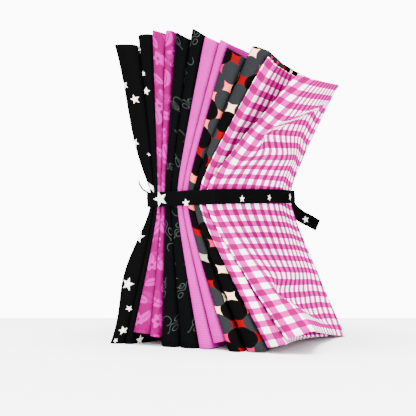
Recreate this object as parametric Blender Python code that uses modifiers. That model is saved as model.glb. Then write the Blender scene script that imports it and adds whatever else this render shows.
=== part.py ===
"""A bundle of six folded fat quarters of quilting cotton, tied round the waist with a strip of cloth.

Each fat quarter is cut 457 x 559 mm. It is doubled to 229 mm, both short edges are folded in to the
middle, and the whole is folded in half to 140 mm. Seen from above, the doubled cloth is one
back-and-forth line: raw edge inside, near fold, far spine, near fold, raw edge inside.
The six stand on end, side by side. The tie draws their middles in, so they fan out above and below.

The near folds face -Y, the stack runs along X from the starred cloth to the gingham, and Z is up.
The origin is at the middle of the base.
"""

import math
from collections import namedtuple

import bmesh
import bpy
from mathutils import Quaternion, Vector

MM = 0.001

# Driving dimensions, in metres.
DEPTH = 140 * MM  # a quarter of the 559 mm side
FULL_HEIGHT = 228 * MM  # half of the 457 mm side, standing up straight
NEAR_WAIST = 104 * MM  # height of the tie at the near folds
FAR_WAIST = 114 * MM  # and at the spines
PULLED_IN = 9 * MM  # how far the tie draws the folds in from the front and back
WAIST_ROUNDING = 0.13  # how softly the sides turn at the waist, as a share of their height
BULGE = 0.35  # how far the sides stand out halfway from front to back, as a share of their place
BULGE_FADE = 3  # how quickly that goes above and below the waist
BOWL = 0.1  # how far they are drawn in there instead, at the foot and top
INNER_PASSES = (0.34, 0.66)  # where the inner passes meet the spine, as shares of its width
PRESSED_CLOTH = 1.0 * MM  # the doubled cloth under the tie
LOOSE_CLOTH = 1.5 * MM  # and at the foot and top, measured level across its lean
BETWEEN = {"floor": 1.2 * MM, "waist": 0.4 * MM, "full": 1.4 * MM}  # from fold to fold
RAW_EDGE = 0.88  # where the raw edges end, as a share of the depth
DEEPEST_BEND = 6 * MM
CORNER_POWER = 0.7  # under 1, so that a bend has a flatter front than a round one

# The near folds from left to right, in millimetres: width at the floor, at the waist and where
# the sides would reach the full height, height of the foot and top at the left edge, how much higher
# the foot and lower the top are at the right edge, how far the front stands forward at the foot
# and top, how far back its right edge turns there, and how far the left edge stands off the fold
# before it at the full height, across a valley.
Fold = namedtuple("Fold", "floor waist full foot_z top_z rise drop forward turn valley", defaults=(0.0,))
FOLDS = {
    "starred": (
        Fold(8.0, 2.6, 20.8, 0.0, 223, 0.0, 2, 0.0, 0.0),
        Fold(5.8, 2.6, 12.0, 0.0, 228, 0.0, 1, -2.0, 0.0),
    ),
    "floral": (
        Fold(16.2, 2.4, 11.4, 9.4, 228, -1.0, 4, 1.0, 0.0),
        Fold(6.8, 2.4, 6.2, 7.4, 225, -1.0, 1, 1.0, 0.0),
    ),
    "sprigged": (
        Fold(14.8, 4.8, 12.8, 0.0, 224, 0.0, 7, 0.0, 0.0),
        Fold(14.8, 4.8, 11.0, 0.0, 224, 0.0, 6, 0.0, 0.0),
    ),
    "ribbed": (
        Fold(10.8, 3.9, 13.6, 0.0, 217, 1.0, 5, 0.0, 0.0),
        Fold(10.8, 3.9, 8.2, 4.4, 213, 2.0, 3, -1.0, 0.0),
    ),
    "dotted": (
        Fold(10.8, 4.1, 21.6, 0.0, 206, 0.0, 8, 3.0, 0.0),
        Fold(16.6, 4.1, 21.2, 0.0, 205, 1.5, 5, 0.0, 0.0),
    ),
    "gingham": (
        Fold(17.2, 4.6, 13.6, 3.6, 196, 3.0, 6, 0.0, 0.0),
        Fold(26.0, 5.0, 20.0, 9.6, 181, 7.0, 4, 0.0, 7.0, 40.2),
    ),
}
VALLEY_ENDS = 0.5  # where the valley closes, as a share of the depth
FOLDS_START = {"floor": -51.0 * MM, "waist": -23.3 * MM, "full": -53.0 * MM}

# The spines at the back, in millimetres: width at the floor, waist and full height, and top.
Spine = namedtuple("Spine", "floor waist full top_z")
SPINES = {
    "starred": Spine(18.0, 9.2, 18.0, 224),
    "floral": Spine(20.4, 9.6, 18.0, 227),
    "sprigged": Spine(21.0, 9.8, 20.4, 226),
    "ribbed": Spine(21.0, 9.8, 21.0, 222),
    "dotted": Spine(21.6, 9.8, 22.4, 211),
    "gingham": Spine(18.4, 9.8, 26.0, 203),
}
SPINES_START = {"floor": -47.0 * MM, "waist": -24.0 * MM, "full": -45.0 * MM}

# Where an outer side stands out from the plain flare, above and below the waist: how far, in which
# direction along X, and between which shares of the height.
Swell = namedtuple("Swell", "out_above above_from above_to out_below below_from below_to")
NO_SWELL = Swell(0, 0, 1, 0, 0, 1)
FIRST_SWELL = Swell(-4.4 * MM, 0.03, 0.97, -12 * MM, 0.0, 0.95)
LAST_SWELL = Swell(12 * MM, 0.03, 0.60, 5 * MM, 0.40, 1.50)

# The gingham's sides, but for the one against the next cloth, have a lip at the foot and top. It
# keeps on out with the near fold's edge, and the side turns in behind it, as a hollow wall.
LIP_STARTS = {"full": 0.36, "floor": 0.66}  # at the near edge, as shares of the height from the waist
LIP_RUNS_BACK = {"full": 0.85, "floor": 1.05}  # how fast it goes from the near place to the far one
LIP_LEAN = 2.6  # how fast its end moves back, for each share of the height
FURTHEST_LIP = 0.7  # as a share of the depth
LIP_TURN = 0.25  # the share of the depth in which the side turns in
LIP_GROWTH = 0.15  # the share of the height in which all of this begins, below the lip's start
WALL_KEEPS = 0.4  # how much of the way from the far place to the near one the wall keeps

TIE_WIDTH = 10.6 * MM
TIE_CLOTH = 1.1 * MM
TIE_GAP = 0.9 * MM  # from the cloths, enough for the band's lean to keep its edges off them
TIE_CORNER = 1.2 * MM
TIE_CORNER_STEPS = 3
TIE_SIDE_STEPS = 7  # stretches of the band along each side of the stack
SHARPEST_TURN = math.radians(45)  # between two stretches. A sharper one is a corner
KNOT_SIZE = (12.5 * MM, 6.5 * MM, 12.0 * MM)
KNOT_PLACE = 0.80  # along the back, from the starred cloth to the gingham
KNOT_TURN = math.radians(12)
KNOT_ROUNDING = 2.3 * MM
KNOT_ROUNDING_STEPS = 2
KNOT_OUT = 2.6 * MM  # how far behind the band's outer face the middle of the knot is

# The two free ends of the tie, from the knot: how far right, back and up each point lies from it,
# in millimetres, and how far the strip is turned about its own length, in degrees.
Step = namedtuple("Step", "right back up roll")
SEEN_END = (
    Step(0.0, 0.6, -1.0, 0),
    Step(4.5, 2.4, -6.0, 4),
    Step(10.0, 3.0, -12.0, 10),
    Step(17.0, 2.6, -17.0, 14),
    Step(24.0, 2.6, -20.5, 16),
    Step(31.0, 3.4, -24.5, 18),
)
HIDDEN_END = (
    Step(0.0, 0.6, -1.0, 0),
    Step(-5.0, 3.0, -6.0, 0),
    Step(-9.0, 4.0, -14.0, -4),
    Step(-12.0, 4.4, -23.0, -8),
    Step(-13.5, 6.0, -32.0, -12),
    Step(-17.0, 7.6, -40.0, -14),
)

COLOURS = {
    "starred": (0.012, 0.012, 0.013),
    "floral": (0.83, 0.03, 0.40),
    "sprigged": (0.014, 0.015, 0.016),
    "ribbed": (0.86, 0.30, 0.68),
    "dotted": (0.06, 0.05, 0.055),
    "gingham": (0.88, 0.14, 0.55),
    "tie": (0.012, 0.012, 0.013),
}

# Where a section is taken: the foot is -1, the waist 0 and the top 1.
WAIST_LEVEL = 0.06  # the cloth is straight between this level and the one as far below
LEVELS = (-1, -0.8, -0.6, -0.4, -0.22, -WAIST_LEVEL, WAIST_LEVEL, 0.22, 0.31, 0.4, 0.6, 0.8, 1)
SHARED_LEVEL = 0.4
PASS_STEPS = 7  # stretches along each pass from front to back
FOLD_STEPS = 6  # stretches round a near fold
SPINE_STEPS = 4  # stretches round a spine

# One pass of the cloth runs from an edge of a near fold to a place at the back.
Pass = namedtuple("Pass", "near far near_foot near_top far_top swell lipped valley")


def between(start, end, share):
    return start + (end - start) * share


def flare(reach):
    """How far the sides have moved from the waist, 0, to the floor or the full height, 1."""
    whole = math.hypot(1, WAIST_ROUNDING) - WAIST_ROUNDING
    return (math.hypot(reach, WAIST_ROUNDING) - WAIST_ROUNDING) / whole


def waist_z(share):
    return between(NEAR_WAIST, FAR_WAIST, share)


def smooth(share):
    share = min(1, max(0, share))
    return share * share * (3 - 2 * share)


def lipped_share(share, reach, end):
    """The share of the depth that a lipped side acts as if it were at."""
    lip_ends = min(FURTHEST_LIP, max(0, LIP_LEAN * (reach - LIP_STARTS[end])))
    behind = smooth((share - lip_ends) / LIP_TURN)
    there = smooth((reach - LIP_STARTS[end]) / LIP_GROWTH + 1)
    held = between(LIP_RUNS_BACK[end] * share, 1 - (1 - share) * WALL_KEEPS, behind)
    return between(share, held, there)


def side_x(side, share, z):
    """Where a pass stands across the stack, at this share of the depth and this height."""
    middle = waist_z(share)
    above = z > middle
    reach = (z - middle) / (FULL_HEIGHT - middle) if above else (middle - z) / middle
    end = "full" if above else "floor"
    spread = flare(reach)
    closed = side.valley * min(1, share / VALLEY_ENDS) if above else 0
    near = between(side.near["waist"], side.near[end] - closed, spread)
    far = between(side.far["waist"], side.far[end], spread)
    acting = lipped_share(share, reach, end) if side.lipped else share
    x = between(near, far, acting)
    out, start, stop = side.swell[:3] if above else side.swell[3:]
    swelling = (reach - start) / (stop - start)
    if 0 < swelling < 1:
        x += out * math.sin(math.pi * swelling) ** 2 * (1 - acting) ** 2
    halfway = math.sin(math.pi * share)
    return x * (1 + (BULGE * halfway * (1 - spread) ** BULGE_FADE - BOWL * spread) * halfway)


def height(side, share, level):
    """The height of a pass at this share of the depth and this level.

    Up to SHARED_LEVEL from the waist, all the cloths have their sections at the same heights.
    """
    middle = waist_z(share)
    if level > 0:
        end, full = between(side.near_top, side.far_top, share), FULL_HEIGHT
    else:
        end, full = between(side.near_foot, 0, share), 0
    shared = between(middle, full, min(abs(level), SHARED_LEVEL))
    return between(shared, end, max(0, abs(level) - SHARED_LEVEL) / (1 - SHARED_LEVEL))


def row_edges(start, rows):
    """The left and right edge of each row, laid side by side from the start."""
    place = dict(start)
    edges = []
    for row in rows:
        place["full"] += getattr(row, "valley", 0) * MM
        left = dict(place)
        for name in place:
            place[name] += getattr(row, name) * MM
        edges.append((left, dict(place)))
        for name in place:
            place[name] += BETWEEN[name]
    return edges


def part_way(left, right, share):
    return {name: between(left[name], right[name], share) for name in left}


def passes_of_every_cloth():
    """The four passes of each cloth: outer and inner left, inner and outer right."""
    folds = [fold for pair in FOLDS.values() for fold in pair]
    near = row_edges(FOLDS_START, folds)
    found = {}
    for i, (name, (left, right)) in enumerate(zip(SPINES, row_edges(SPINES_START, SPINES.values()))):
        inner = [part_way(left, right, share) for share in INNER_PASSES]
        backs = (left, *inner, right)
        fronts = (*near[2 * i], *near[2 * i + 1])
        sides = []
        for j, (front, back) in enumerate(zip(fronts, backs)):
            fold = FOLDS[name][j // 2]
            foot = fold.foot_z + (fold.rise if j % 2 else 0)
            top = fold.top_z - (fold.drop if j % 2 else 0)
            swell = NO_SWELL
            if name == "starred" and j == 0:
                swell = FIRST_SWELL
            elif name == "gingham" and j == 3:
                swell = LAST_SWELL
            lipped = name == "gingham" and j > 0
            valley = fold.valley * MM if j == 2 else 0
            far_top = SPINES[name].top_z * MM
            sides.append(Pass(front, back, foot * MM, top * MM, far_top, swell, lipped, valley))
        found[name] = sides
    return found


def point_on(side, y, level, aside):
    share = max(0, y / DEPTH + 0.5)
    z = height(side, share, level)
    return side_x(side, share, z) + aside, y, z


def bend(left, right, start_y, deep, level, half, turn, steps):
    """Points from the left pass round to the right one. They stand out by deep along Y."""
    points = []
    for step in range(steps + 1):
        angle = math.pi * step / steps
        cosine = math.cos(angle)
        across = (1 - math.copysign(abs(cosine) ** CORNER_POWER, cosine)) / 2
        out = deep * math.sin(angle) ** CORNER_POWER
        y = start_y + out + turn * across
        a = point_on(left, y, level, half)
        b = point_on(right, y, level, -half)
        points.append((between(a[0], b[0], across), y, between(a[2], b[2], across)))
    return points


def straight(side, start_y, end_y, level, aside, steps):
    """Points along a pass, without its two ends."""
    return [
        point_on(side, between(start_y, end_y, step / steps), level, aside)
        for step in range(1, steps)
    ]


def gap_width(left, right, y, level):
    return point_on(right, y, level, 0)[0] - point_on(left, y, level, 0)[0]


def cloth_line(name, sides, level):
    """The middle of the doubled cloth at one level, from raw edge to raw edge, and half its thickness."""
    half = between(PRESSED_CLOTH, LOOSE_CLOTH, flare(level)) / 2
    outer_left, inner_left, inner_right, outer_right = sides
    front = -DEPTH / 2 + PULLED_IN * (1 - flare(level)) + half
    back = DEPTH / 2 - PULLED_IN * (1 - flare(level)) - half
    spine_deep = min(DEEPEST_BEND, gap_width(outer_left, outer_right, back, level) / 2 - half)
    spine_y = back - spine_deep
    halves = []
    for fold, left, right in (
        (FOLDS[name][0], outer_left, inner_left),
        (FOLDS[name][1], inner_right, outer_right),
    ):
        fold_front = front - fold.forward * MM * flare(level)
        turn = fold.turn * MM * flare(level)
        deep = min(DEEPEST_BEND, gap_width(left, right, fold_front, level) / 2 - half)
        bend_y = fold_front + deep
        loop = bend(left, right, bend_y, -deep, level, half, turn, FOLD_STEPS)
        raw_y = between(bend_y, spine_y, RAW_EDGE)
        if left is outer_left:
            inner = straight(right, bend_y, raw_y, level, -half, PASS_STEPS)
            raw = point_on(right, raw_y, level, -half)
            outer = straight(left, bend_y, spine_y, level, half, PASS_STEPS)
            halves.append([raw] + inner[::-1] + loop[::-1] + outer)
        else:
            inner = straight(left, bend_y, raw_y, level, half, PASS_STEPS)
            raw = point_on(left, raw_y, level, half)
            outer = straight(right, bend_y + turn, spine_y, level, -half, PASS_STEPS)
            halves.append(outer[::-1] + loop[::-1] + inner + [raw])
    spine = bend(outer_left, outer_right, spine_y, spine_deep, level, half, 0, SPINE_STEPS)
    return halves[0] + spine + halves[1], half


def two_sides(line, half):
    """The line moved by half the cloth's thickness to either side, level with itself."""
    left, right = [], []
    for i, (x, y, z) in enumerate(line):
        before = line[max(i - 1, 0)]
        after = line[min(i + 1, len(line) - 1)]
        into = math.dist(before[:2], (x, y)) or 1
        out = math.dist(after[:2], (x, y)) or 1
        along_x = (x - before[0]) / into + (after[0] - x) / out
        along_y = (y - before[1]) / into + (after[1] - y) / out
        long = math.hypot(along_x, along_y)
        across = (-along_y / long * half, along_x / long * half)
        left.append((x + across[0], y + across[1], z))
        right.append((x - across[0], y - across[1], z))
    return left, right


def material(name):
    made = bpy.data.materials.new(name)
    made.use_nodes = True
    shader = made.node_tree.nodes["Principled BSDF"]
    shader.inputs["Base Color"].default_value = (*COLOURS[name], 1)
    shader.inputs["Roughness"].default_value = 0.9
    shader.inputs["Metallic"].default_value = 0
    return made


def add_object(name, mesh, group):
    made = bpy.data.objects.new(name, mesh)
    made.data.materials.append(material(name))
    group.objects.link(made)
    return made


def faces_between(mesh, lower, upper):
    """Two triangles in each cell. All split the same way in space, so that neighbours lie parallel."""
    for a, b, c, d in zip(lower, lower[1:], upper[1:], upper):
        if (a.co.y < b.co.y) == (a.co.z < d.co.z):
            mesh.faces.new((a, b, c))
            mesh.faces.new((a, c, d))
        else:
            mesh.faces.new((a, b, d))
            mesh.faces.new((b, c, d))


def fat_quarter(name, sides, group):
    """One folded cloth: a loft through its sections at every level."""
    mesh = bmesh.new()
    rows = []
    for level in LEVELS:
        line, half = cloth_line(name, sides, level)
        rows.append([[mesh.verts.new(p) for p in side] for side in two_sides(line, half)])
    for (left, right), (left_up, right_up) in zip(rows, rows[1:]):
        faces_between(mesh, left, left_up)
        faces_between(mesh, right_up, right)
        mesh.faces.new((right[0], left[0], left_up[0], right_up[0]))
        mesh.faces.new((left[-1], right[-1], right_up[-1], left_up[-1]))
    faces_between(mesh, rows[0][1], rows[0][0])
    faces_between(mesh, rows[-1][0], rows[-1][1])
    bmesh.ops.recalc_face_normals(mesh, faces=mesh.faces)
    data = bpy.data.meshes.new(name)
    mesh.to_mesh(data)
    mesh.free()
    return add_object(name, data, group)


def waist_outline(sides):
    """The points of the tie's loop: back along the gingham's side, then forward along the starred one."""
    left, right = sides["starred"][0], sides["gingham"][3]
    front, back = -DEPTH / 2 + PULLED_IN - TIE_GAP, DEPTH / 2 - PULLED_IN + TIE_GAP
    places = [between(front, back, step / TIE_SIDE_STEPS) for step in range(TIE_SIDE_STEPS + 1)]
    points = []
    for side, ys in ((right, places), (left, places[::-1])):
        for y in ys:
            reached = [point_on(side, y, level, 0)[0] for level in (-WAIST_LEVEL, WAIST_LEVEL)]
            x = min(reached) - TIE_GAP if side is left else max(reached) + TIE_GAP
            points.append(Vector((x, y, waist_z(y / DEPTH + 0.5))))
    return points


def rounded_loop(points, upright):
    """The loop as (point, way out) pairs, with an arc at each of its four sharp corners."""
    loop = []
    for i, point in enumerate(points):
        along_last = (point - points[i - 1]).normalized()
        along_next = (points[(i + 1) % len(points)] - point).normalized()
        out_last, out_next = along_last.cross(upright), along_next.cross(upright)
        if out_last.dot(out_next) > math.cos(SHARPEST_TURN):
            loop.append((point, (out_last + out_next).normalized()))
            continue
        centre = point - (out_last + out_next) * TIE_CORNER / (1 + out_last.dot(out_next))
        for step in range(TIE_CORNER_STEPS + 1):
            out = out_last.slerp(out_next, step / TIE_CORNER_STEPS)
            loop.append((centre + out * TIE_CORNER, out))
    return loop


def strip(name, stations, closed, group):
    """A strip of the tie's cloth along its stations: (point, way out, way across) each."""
    mesh = bmesh.new()
    rings = []
    for point, out, across in stations:
        thick, wide = out * TIE_CLOTH, across * TIE_WIDTH / 2
        places = (point - wide, point + thick - wide, point + thick + wide, point + wide)
        rings.append([mesh.verts.new(place) for place in places])
    pairs = list(zip(rings, rings[1:]))
    if closed:
        pairs.append((rings[-1], rings[0]))
    else:
        mesh.faces.new(rings[0])
        mesh.faces.new(rings[-1][::-1])
    for ring, after in pairs:
        for i in range(4):
            mesh.faces.new((ring[i], ring[i - 1], after[i - 1], after[i]))
    bmesh.ops.recalc_face_normals(mesh, faces=mesh.faces)
    data = bpy.data.meshes.new(name)
    mesh.to_mesh(data)
    mesh.free()
    made = bpy.data.objects.new(name, data)
    group.objects.link(made)
    return made


def free_end(name, knot, steps, group):
    points = [knot + Vector((s.right, s.back, s.up)) * MM for s in steps]
    stations = []
    for i, (point, step) in enumerate(zip(points, steps)):
        along = (points[min(i + 1, len(points) - 1)] - points[max(i - 1, 0)]).normalized()
        across = along.cross(Vector((0, 1, 0))).normalized()
        across.rotate(Quaternion(along, math.radians(step.roll)))
        stations.append((point, across.cross(along).normalized(), across))
    return strip(name, stations, False, group)


def tie(sides, group, helpers):
    """The strip round the waist, its knot behind the gingham's end of the stack, and its free ends."""
    points = waist_outline(sides)
    front_right, back_right, back_left = (points[i] for i in (0, TIE_SIDE_STEPS, TIE_SIDE_STEPS + 1))
    upright = (back_right - front_right).cross(back_left - back_right).normalized()
    loop = rounded_loop(points, upright)
    band = strip("tie", [(point, out, upright) for point, out in loop], True, group)
    band.data.materials.append(material("tie"))
    knot_at = back_left.lerp(back_right, KNOT_PLACE) + Vector((0, TIE_CLOTH + KNOT_OUT, 0))
    bpy.ops.mesh.primitive_cube_add(size=1, location=knot_at, rotation=(0, KNOT_TURN, 0))
    knot = bpy.context.object
    knot.name = "knot_form"
    knot.scale = KNOT_SIZE
    bpy.ops.object.transform_apply(location=False, rotation=False, scale=True)
    rounding = knot.modifiers.new("rounding", "BEVEL")
    rounding.width = KNOT_ROUNDING
    rounding.segments = KNOT_ROUNDING_STEPS
    ends = [
        free_end("seen_end_form", knot_at, SEEN_END, helpers),
        free_end("hidden_end_form", knot_at, HIDDEN_END, helpers),
    ]
    for helper in (knot, *ends):
        for owner in list(helper.users_collection):
            owner.objects.unlink(helper)
        helpers.objects.link(helper)
        helper.hide_render = True
        helper.display_type = "WIRE"
        joining = band.modifiers.new(helper.name, "BOOLEAN")
        joining.operation = "UNION"
        joining.object = helper
    return band


def centre_on_base(group, helpers):
    """Moves everything so that the origin is at the middle of the base."""
    graph = bpy.context.evaluated_depsgraph_get()
    corners = []
    for made in group.objects:
        corners.extend(Vector(corner) for corner in made.evaluated_get(graph).bound_box)
    for axis in (0, 1):
        places = [corner[axis] for corner in corners]
        middle = (min(places) + max(places)) / 2
        for made in (*group.objects, *helpers.objects):
            made.location[axis] -= middle


def main():
    for old in list(bpy.data.objects):
        bpy.data.objects.remove(old, do_unlink=True)
    group = bpy.data.collections.new("fat_quarter_bundle")
    bpy.context.scene.collection.children.link(group)
    helpers = bpy.data.collections.new("joined_forms")
    bpy.context.scene.collection.children.link(helpers)
    cloths = passes_of_every_cloth()
    for name, sides in cloths.items():
        fat_quarter(name, sides, group)
    tie(cloths, group, helpers)
    centre_on_base(group, helpers)


main()
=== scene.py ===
"""A bundle of six folded fat quarters, tied round the waist with a strip of the starred cloth."""

import math
from collections import namedtuple

import bmesh
import bpy
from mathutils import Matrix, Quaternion, Vector, noise
from mathutils.geometry import interpolate_bezier


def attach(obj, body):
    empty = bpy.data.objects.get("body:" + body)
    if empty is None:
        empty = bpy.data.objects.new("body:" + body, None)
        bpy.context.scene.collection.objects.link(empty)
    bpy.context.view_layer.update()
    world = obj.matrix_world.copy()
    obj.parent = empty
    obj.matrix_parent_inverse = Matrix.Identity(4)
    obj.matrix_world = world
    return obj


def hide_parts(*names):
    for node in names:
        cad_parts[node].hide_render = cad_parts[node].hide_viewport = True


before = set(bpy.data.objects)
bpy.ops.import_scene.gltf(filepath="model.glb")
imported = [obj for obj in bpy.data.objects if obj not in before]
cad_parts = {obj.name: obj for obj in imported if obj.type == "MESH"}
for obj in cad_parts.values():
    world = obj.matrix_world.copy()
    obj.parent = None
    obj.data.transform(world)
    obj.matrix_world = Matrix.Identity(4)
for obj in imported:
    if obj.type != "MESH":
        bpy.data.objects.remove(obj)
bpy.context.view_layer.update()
MM = 0.001

# ---------------------------------------------------------------------------------------------
# The camera stands a little above the table, in front and to the right, about 0.6 m away, and
# looks slightly up.
camera = bpy.data.objects.new("camera", bpy.data.cameras.new("camera"))
bpy.context.scene.collection.objects.link(camera)
camera.location = (0.26576, -0.52526, 0.0581)
LOOKS_UP = math.atan(55.7 / 766.8)
camera.rotation_euler = (math.pi / 2 + LOOKS_UP, 0, math.radians(30))
camera.data.sensor_width = 36
camera.data.lens = 66.36
bpy.context.scene.camera = camera

# ---------------------------------------------------------------------------------------------
# The starred cloth is the first of six fat quarters. Each is one rectangle of plain-weave cotton,
# cut 457 x 559 mm. It is doubled, both ends are folded in to the middle, and it is folded in half,
# so the doubled cloth runs raw edge, near fold, spine, near fold, raw edge. It stands on its edges.
DEPTH = 140 * MM
FULL_HEIGHT = 228 * MM
CUT = (457 * MM, 559 * MM)
NEAR_WAIST, FAR_WAIST = 104 * MM, 114 * MM
PULLED_IN = 9 * MM
WAIST_ROUNDING = 0.13
BULGE, BULGE_FADE, BOWL = 0.35, 3, 0.1  # halfway back: out at the waist, in where it fans out
LIP_STARTS = {"full": 0.36, "floor": 0.66}
LIP_RUNS_BACK = {"full": 0.85, "floor": 1.05}
LIP_LEAN, FURTHEST_LIP, LIP_TURN, LIP_GROWTH = 2.6, 0.7, 0.25, 0.15
WALL_KEEPS = 0.4
VALLEY_ENDS = 0.5
PRESSED_CLOTH, LOOSE_CLOTH = 1.0 * MM, 1.5 * MM
ONE_PLY = 0.3 * MM
BETWEEN = {"floor": 1.2 * MM, "waist": 0.4 * MM, "full": 1.4 * MM}
RAW_EDGE = 0.88  # of the way from the near fold to the spine
DEEPEST_BEND = 6 * MM
CORNER_POWER = 0.7  # under 1 makes a bend squarer
INNER_PASSES = (0.34, 0.66)  # of the spine's width, from its left edge
SHARED_LEVEL = 0.4  # as far as this a level has the same height in every pass
PASS_STEPS, FOLD_STEPS, SPINE_STEPS = 20, 14, 8
HALF_LEVELS, LEVEL_POWER = 26, 1.25  # the levels lie closest together at the waist
TOP_STEPS = 6
TOP_WAVE, TOP_WAVES_APART, WAVY_FROM = 1.2 * MM, 1 / 45, 0.6
FOLD_EDGE = 8 * MM  # from a pressed crease to the left edge of its opened fold
MIDDLE = Vector((26.943, 1.256, 0)) * MM  # of the base, before the bundle is centred on it

# A near fold's widths at the floor, the waist and the full height, and the z of its foot and top.
# Then how much higher its right side starts and how much lower it ends, how far it stands forward,
# how much further back its right side starts, and how far it stands off the fold before it, across
# a valley. All are in millimetres.
Fold = namedtuple(
    "Fold", "floor waist full foot_z top_z rise drop forward turn valley", defaults=(0,)
)
Spine = namedtuple("Spine", "floor waist full top_z")
# How far a side bows to the right above and below the waist, and between which shares of the way
# up or down. A skew under 1 brings the furthest place above the waist nearer to it.
Swell = namedtuple(
    "Swell", "out_above above_from above_to out_below below_from below_to skew", defaults=(1,)
)
Pass = namedtuple("Pass", "near far near_foot near_top far_top swell lipped valley")
NO_SWELL = Swell(0, 0, 1, 0, 0, 1)
# The left edge of the next cloth's near folds and of its spine.
near_place = {"floor": -54.3 * MM, "waist": -23.3 * MM, "full": -55.3 * MM}
spine_place = {"floor": -47 * MM, "waist": -24 * MM, "full": -45 * MM}


def between(start, end, share):
    return start + (end - start) * share


def take_width(place, row):
    """The left and right edge of the next fold in the stack. The place moves on past it."""
    place["full"] += getattr(row, "valley", 0) * MM
    left = dict(place)
    right = {name: place[name] + getattr(row, name) * MM for name in place}
    for name in place:
        place[name] = right[name] + BETWEEN[name]
    return left, right


def four_passes(folds, spine, swells, lipped=(False,) * 4):
    """The four passes of the next cloth, from left to right."""
    near = [edge for fold in folds for edge in take_width(near_place, fold)]
    left, right = take_width(spine_place, spine)
    inner = [{n: between(left[n], right[n], share) for n in left} for share in INNER_PASSES]
    sides = []
    for j, (front, back) in enumerate(zip(near, (left, *inner, right))):
        fold = folds[j // 2]
        foot = fold.foot_z + (fold.rise if j % 2 else 0)
        top = fold.top_z - (fold.drop if j % 2 else 0)
        valley = fold.valley * MM if j == 2 else 0
        heights = foot * MM, top * MM, spine.top_z * MM
        sides.append(Pass(front, back, *heights, swells[j], lipped[j], valley))
    return sides


def flare(reach):
    """How far the cloth has fanned out, from 0 at the waist to 1 at its end."""
    whole = math.hypot(1, WAIST_ROUNDING) - WAIST_ROUNDING
    return (math.hypot(reach, WAIST_ROUNDING) - WAIST_ROUNDING) / whole


def waist_z(share):
    return between(NEAR_WAIST, FAR_WAIST, share)


def smooth(share):
    """An even start and end to a change from 0 to 1."""
    share = min(1, max(0, share))
    return share * share * (3 - 2 * share)


def lipped_share(share, reach, end):
    """The share of the depth that a lipped side acts as if it were at.

    Its near part keeps on out with the fold's edge, as a lip that reaches further back towards the
    foot and top. Behind the lip it turns in, and lies near the spine's place.
    """
    lip_ends = min(FURTHEST_LIP, max(0, LIP_LEAN * (reach - LIP_STARTS[end])))
    behind = smooth((share - lip_ends) / LIP_TURN)
    there = smooth((reach - LIP_STARTS[end]) / LIP_GROWTH + 1)
    held = between(LIP_RUNS_BACK[end] * share, 1 - (1 - share) * WALL_KEEPS, behind)
    return between(share, held, there)


def side_x(side, share, z):
    """Where a side of a fold lies, at this share of the depth from the front and this height."""
    middle = waist_z(share)
    above = z > middle
    reach = (z - middle) / (FULL_HEIGHT - middle) if above else (middle - z) / middle
    end = "full" if above else "floor"
    spread = flare(reach)
    closed = side.valley * min(1, share / VALLEY_ENDS) if above else 0
    near = between(side.near["waist"], side.near[end] - closed, spread)
    far = between(side.far["waist"], side.far[end], spread)
    acting = lipped_share(share, reach, end) if side.lipped else share
    x = between(near, far, acting)
    out, start, stop = side.swell[:3] if above else side.swell[3:6]
    swelling = (reach - start) / (stop - start)
    if 0 < swelling < 1:
        swelling **= side.swell.skew if above else 1
        x += out * math.sin(math.pi * swelling) ** 2 * (1 - acting) ** 2
    halfway = math.sin(math.pi * share)
    return x * (1 + (BULGE * halfway * (1 - spread) ** BULGE_FADE - BOWL * spread) * halfway)


def pass_point(side, y, level, aside):
    """A point of a pass. Levels run from -1 at the foot over 0 at the waist to 1 at the top."""
    share = max(0, y / DEPTH + 0.5)
    middle = waist_z(share)
    if level > 0:
        end, full = between(side.near_top, side.far_top, share), FULL_HEIGHT
    else:
        end, full = between(side.near_foot, 0, share), 0
    shared = between(middle, full, min(abs(level), SHARED_LEVEL))
    z = between(shared, end, max(0, abs(level) - SHARED_LEVEL) / (1 - SHARED_LEVEL))
    return side_x(side, share, z) + aside, y, z


def bend_points(left, right, start_y, deep, level, half, turn, steps):
    """Round the bend from one pass to the other, at a near fold or at the spine."""
    points = []
    for step in range(steps + 1):
        angle = math.pi * step / steps
        cosine = math.cos(angle)
        across = (1 - math.copysign(abs(cosine) ** CORNER_POWER, cosine)) / 2
        y = start_y + deep * math.sin(angle) ** CORNER_POWER + turn * across
        a = pass_point(left, y, level, half)
        b = pass_point(right, y, level, -half)
        points.append((between(a[0], b[0], across), y, between(a[2], b[2], across)))
    return points


def pass_points(side, start_y, end_y, level, aside):
    steps = [between(start_y, end_y, step / PASS_STEPS) for step in range(1, PASS_STEPS)]
    return [pass_point(side, y, level, aside) for y in steps]


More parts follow.
